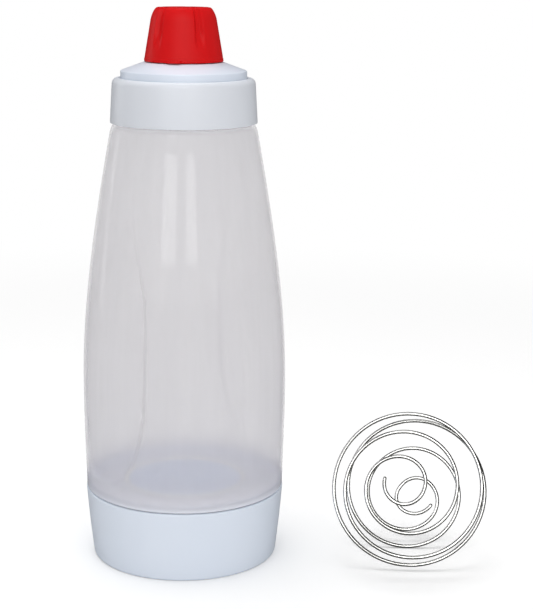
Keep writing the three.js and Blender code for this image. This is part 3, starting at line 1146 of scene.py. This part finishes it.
    def liner(self) -> bpy.types.Object:
        """Builds the soft liner with its plug.

        Returns:
            The liner.
        """
        outline = filleted(
            (0, self.plug_low),
            (self.plug_radius, self.plug_low, self.plug_round),
            (self.plug_radius, self.liner_low, self.plug_root),
            (self.liner_radius, self.liner_low, self.liner_round),
            (self.liner_radius, self.liner_high, self.liner_round),
            (0, self.liner_high),
            steps=self.liner_steps,
        )
        return turned("cap_liner_disc", Strip(outline), steps=self.liner_steps_round)

    def build(self) -> None:
        """Builds and dresses both pieces."""
        fit(self.shell(), "twist_cap", Body.CAP, RED)
        fit(self.liner(), "cap_liner", Body.CAP_SEAL, SILICONE)


@dataclass
class WhiskBall:
    """Loose ball wound by hand from one springy wire, which ends in a flat loop at each pole."""

    diameter: float = 79.8
    wire: float = 1.9
    turns: float = 6.449
    start_angle: float = 167.0
    polar_angles: tuple[float, ...] = (
        *(15.5, 14.6, 14.6, 20.5, 31, 38.5, 41.3, 45.3, 57.5, 69.9, 75.2, 76.3),
        *(83.2, 94.5, 109, 121, 132.8, 140.6, 143.1, 143.6, 153.7, 164.7, 169.4, 164.7, 162.4),
    )
    x: float = 116.2
    y: float = -12.9
    axis_elevation: float = 22.6
    axis_turn: float = -8.9
    steps_per_turn: int = 72
    sides: int = 18
    end_angles: tuple[float, ...] = (80, 55, 28)

    def centre_line(self) -> np.ndarray:
        """Winds the wire's middle line round the ball's centre, in millimetres.

        Returns:
            Places along it, one row each.
        """
        share = np.linspace(0, 1, round(self.turns * self.steps_per_turn) + 1)
        angles = np.array([self.polar_angles[0], *self.polar_angles, self.polar_angles[-1]], float)
        place = share * (len(self.polar_angles) - 1)
        i = np.minimum(place.astype(int), len(self.polar_angles) - 2)
        f = place - i
        a, b, c, d = (angles[i + k] for k in range(4))
        slope, bend = (c - a) / 2, (d - b) / 2
        polar = np.radians(b + f * (slope + f * (3 * (c - b) - 2 * slope - bend + f * (2 * (b - c) + slope + bend))))
        turn = np.radians(self.start_angle + 360 * self.turns * share)
        line = np.stack([np.sin(polar) * np.cos(turn), np.sin(polar) * np.sin(turn), np.cos(polar)], 1)
        lean, swing = math.radians(90 - self.axis_elevation), math.radians(self.axis_turn)
        tip = np.array([[1, 0, 0], [0, math.cos(lean), -math.sin(lean)], [0, math.sin(lean), math.cos(lean)]])
        aim = np.array([[math.cos(swing), -math.sin(swing), 0], [math.sin(swing), math.cos(swing), 0], [0, 0, 1]])
        return line @ (aim @ tip).T * (self.diameter - self.wire) / 2

    def coil(self) -> bpy.types.Object:
        """Builds the wire as one tube with rounded ends, with its length and its way round as a texture map.

        Returns:
            The wire.
        """
        line = self.centre_line()
        ahead = np.gradient(line, axis=0)
        ahead /= np.linalg.norm(ahead, axis=1)[:, None]
        out = line / np.linalg.norm(line, axis=1)[:, None]
        out -= (out * ahead).sum(1)[:, None] * ahead
        out /= np.linalg.norm(out, axis=1)[:, None]
        side = np.cross(ahead, out)
        half = self.wire / 2
        domes = [math.radians(a) for a in self.end_angles]
        ends = [(0, -math.sin(a) * half, math.cos(a)) for a in domes]
        middle = [(i, 0.0, 1.0) for i in range(len(line))]
        tips = [(len(line) - 1, math.sin(a) * half, math.cos(a)) for a in reversed(domes)]
        angles = np.linspace(0, 2 * math.pi, self.sides, endpoint=False)
        rings = []
        for i, shift, share in [*ends, *middle, *tips]:
            section = np.cos(angles)[:, None] * out[i] + np.sin(angles)[:, None] * side[i]
            rings.append(line[i] + ahead[i] * shift + section * half * share)
        points = np.concatenate(rings)
        points += np.array([self.x, self.y, -points[:, 2].min()])
        n = self.sides
        faces: list[Sequence[int]] = [list(range(n - 1, -1, -1))]
        faces += [
            (r * n + j, r * n + (j + 1) % n, (r + 1) * n + (j + 1) % n, (r + 1) * n + j)
            for r in range(len(rings) - 1)
            for j in range(n)
        ]
        faces.append([len(points) - n + j for j in range(n)])
        piece = mesh_object("whisk_wire", points, faces)
        steps = np.linalg.norm(np.diff([r.mean(0) for r in rings], axis=0), axis=1)
        gone = np.concatenate([[0], np.cumsum(steps)]) * MM
        layer = piece.data.uv_layers.new(name=WIRE_MAP)
        for polygon in piece.data.polygons:
            last = max(piece.data.loops[k].vertex_index % n for k in polygon.loop_indices) == n - 1
            for k in polygon.loop_indices:
                ring, j = divmod(piece.data.loops[k].vertex_index, n)
                layer.data[k].uv = (gone[ring], 1.0 if last and j == 0 else j / n)
        return piece

    def build(self) -> None:
        """Builds and dresses the ball."""
        fit(self.coil(), "whisk_ball", Body.BALL, STEEL)


@dataclass(frozen=True)
class SoftBox:
    """Lamp with an even face."""

    name: str
    place: tuple[float, float, float]
    size: tuple[float, float]
    level: float
    lights: bool = True
    mirrored: bool = False


@dataclass
class Studio:
    """Camera at the photograph's place, soft lamps, a pale floor and a white surround."""

    camera_place: tuple[float, float, float] = (41.85, -762.0, 303.1)
    camera_pitch: float = 12.7
    camera_roll: float = 0.538
    focal_pixels: float = 1531.0
    picture_height: float = 609.0
    sensor: float = 36.0
    clip: tuple[float, float] = (10.0, 100000.0)
    ambient: float = 0.5
    room_front: float = 1.35
    room_back: float = 0.03
    front_to: float = -0.92
    back_from: float = -0.6
    floor_colour: str = "#F6F6F6"
    # floor colour seen in mirrors, painted darker: a painted shade in the reflections on the wire's lower side
    mirrored_floor_shade: str = "#585856"
    floor_lift: float = 0.2
    floor_half: float = 16000.0
    plain_from: float = 350.0
    plain_to: float = 900.0
    lamps: tuple[SoftBox, ...] = (
        SoftBox("front soft box", (750, -1400, 600), (1300, 1050), 1.0),
        SoftBox("top soft box", (-100, 100, 1250), (700, 700), 4.2),
        SoftBox("left window pane", (-440, -1500, 416), (500, 284), 4.2, mirrored=True),
        SoftBox("right window pane", (326, -1500, 416), (364, 284), 4.2, mirrored=True),
        SoftBox("upper window pane", (-120, -1400, 1100), (1000, 600), 3.4, lights=False, mirrored=True),
        SoftBox("left glint strip", (-900, 440, 250), (160, 900), 1.5, lights=False, mirrored=True),
    )
    aim: tuple[float, float, float] = (20.0, 0.0, 130.0)

    def camera(self) -> None:
        """Sets up the camera."""
        data = bpy.data.cameras.new("camera")
        data.sensor_width = self.sensor
        data.lens = self.focal_pixels / self.picture_height * self.sensor
        data.clip_start, data.clip_end = (c * MM for c in self.clip)
        camera = bpy.data.objects.new("camera", data)
        camera.location = [c * MM for c in self.camera_place]
        tip = Matrix.Rotation(math.radians(90 - self.camera_pitch), 3, "X")
        camera.rotation_euler = (tip @ Matrix.Rotation(math.radians(self.camera_roll), 3, "Z")).to_euler()
        bpy.context.scene.collection.objects.link(camera)
        bpy.context.scene.camera = camera

    def lamp(self, box: SoftBox) -> None:
        """Hangs a soft box, turned to the object.

        Args:
            box: lamp to hang.
        """
        data = bpy.data.lights.new(box.name, "AREA")
        data.shape = "RECTANGLE"
        data.size, data.size_y = (s * MM for s in box.size)
        data.energy = box.level * math.pi * data.size * data.size_y
        lamp = bpy.data.objects.new(box.name, data)
        lamp.location = [c * MM for c in box.place]
        away = lamp.location - Vector([c * MM for c in self.aim])
        lamp.rotation_euler = away.to_track_quat("Z", "Y").to_euler()
        lamp.visible_camera = False
        lamp.visible_diffuse = box.lights
        lamp.visible_transmission = box.lights
        lamp.visible_glossy = box.mirrored
        bpy.context.scene.collection.objects.link(lamp)

    def floor(self) -> None:
        """Lays the pale floor, which keeps the shadows near the object and is plain white further off."""
        half = self.floor_half
        points = np.array([[-half, -half, 0], [half, -half, 0], [half, half, 0], [-half, half, 0]])
        floor = mesh_object("studio_floor", points, [(0, 1, 2, 3)])
        material, tree, output = new_material("painted studio floor")
        path = add(tree, "ShaderNodeLightPath").outputs
        place = add(tree, "ShaderNodeTexCoord").outputs["Object"]
        far = add(tree, "ShaderNodeVectorMath", links={0: place}, operation="LENGTH").outputs["Value"]
        plain = add(
            tree,
            "ShaderNodeMapRange",
            {"From Min": self.plain_from * MM, "From Max": self.plain_to * MM},
            {"Value": far},
            interpolation_type="SMOOTHSTEP",
        ).outputs[0]
        shown = path["Is Camera Ray"]
        plain_shown = add(tree, "ShaderNodeMath", links={0: plain, 1: shown}, operation="MULTIPLY").outputs[0]
        lift = add(tree, "ShaderNodeMath", {1: self.floor_lift}, {0: shown}, operation="MULTIPLY").outputs[0]
        # mirrors see the floor painted darker, a painted shade in reflections
        tones = {6: linear(self.floor_colour), 7: linear(self.mirrored_floor_shade)}
        tone = add(tree, "ShaderNodeMix", tones, {0: path["Is Glossy Ray"]}, data_type="RGBA").outputs[2]
        paint = add(tree, "ShaderNodeBsdfDiffuse", links={"Color": tone}).outputs[0]
        glow = add(tree, "ShaderNodeEmission", links={"Strength": lift}).outputs[0]
        near = add(tree, "ShaderNodeAddShader", links={0: paint, 1: glow}).outputs[0]
        white = add(tree, "ShaderNodeEmission").outputs[0]
        surface = add(tree, "ShaderNodeMixShader", links={0: plain_shown, 1: near, 2: white}).outputs[0]
        tree.links.new(surface, output.inputs["Surface"])
        floor.data.materials.append(material)

    def surround(self) -> None:
        """Sets the white surround: a plain level of light, and for mirrors a room that is bright only at the front."""
        world = bpy.data.worlds.new("studio surround")
        world.use_nodes = True
        tree = world.node_tree
        tree.nodes.clear()
        path = add(tree, "ShaderNodeLightPath").outputs
        way = add(tree, "ShaderNodeTexCoord").outputs["Generated"]
        depth = add(tree, "ShaderNodeSeparateXYZ", links={0: way}).outputs["Y"]
        walls = {"From Min": self.front_to, "From Max": self.back_from}
        levels = {"To Min": self.room_front, "To Max": self.room_back}
        room = add(tree, "ShaderNodeMapRange", {**walls, **levels}, {"Value": depth}).outputs[0]
        veiled = add(tree, "ShaderNodeMix", {3: 1.0}, {0: path["Transparent Depth"], 2: room}).outputs[0]
        lit = add(tree, "ShaderNodeMix", {2: self.ambient}, {0: path["Is Glossy Ray"], 3: veiled}).outputs[0]
        level = add(tree, "ShaderNodeMix", {3: 1.0}, {0: path["Is Camera Ray"], 2: lit}).outputs[0]
        white = add(tree, "ShaderNodeBackground", {"Color": (1, 1, 1, 1)}, {"Strength": level}).outputs[0]
        add(tree, "ShaderNodeOutputWorld", links={"Surface": white})
        bpy.context.scene.world = world

    def build(self) -> None:
        """Sets up the whole studio."""
        bpy.context.scene.view_settings.view_transform = "Standard"
        self.camera()
        for box in self.lamps:
            self.lamp(box)
        self.floor()
        self.surround()


def main() -> None:
    logging.basicConfig(level=logging.INFO, format="%(name)s: %(message)s")
    Studio().build()
    for assembly in (BaseAssembly(), Bottle(), Lid(), TwistCap(), WhiskBall()):
        assembly.build()


if __name__ == "__main__":
    main()
